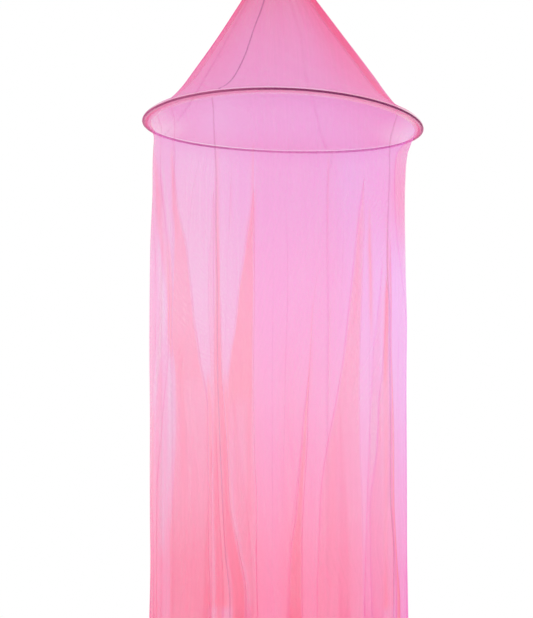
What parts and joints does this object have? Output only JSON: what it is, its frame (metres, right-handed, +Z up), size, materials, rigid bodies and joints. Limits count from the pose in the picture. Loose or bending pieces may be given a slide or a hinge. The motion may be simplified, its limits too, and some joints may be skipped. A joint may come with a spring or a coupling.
{
  "type": "mosquito net canopy with hoop",
  "caption": "Round bed canopy of sheer net: a cone over a rod hoop, a long curtain falling in flat folds, a cap and a tape loop to hang it from.",
  "frame": {"origin": "where a hook bears inside the hanging loop, the canopy's highest inner point", "axes": "+Z up along the hanging axis, -Y towards the front with the two near seams, +X to the right as the front is seen"},
  "size_m": [0.6118, 0.6181, 2.4989],
  "materials": {
    "net": "sheer knitted mosquito net, pink",
    "casing": "folded net, denser than the curtain",
    "rod": "dark plum, satin",
    "tape": "woven tape and plain cloth, pink"
  },
  "bodies": {
    "root": {"gore_front": "net", "gore_right": "net", "gore_back": "net", "gore_left": "net", "curtain_front": "net", "curtain_right": "net", "curtain_back": "net", "curtain_left": "net", "hoop": "rod", "hoop_casing": "casing", "top_binding": "tape", "hanging_loop": "tape"}
  },
  "joints": []
}
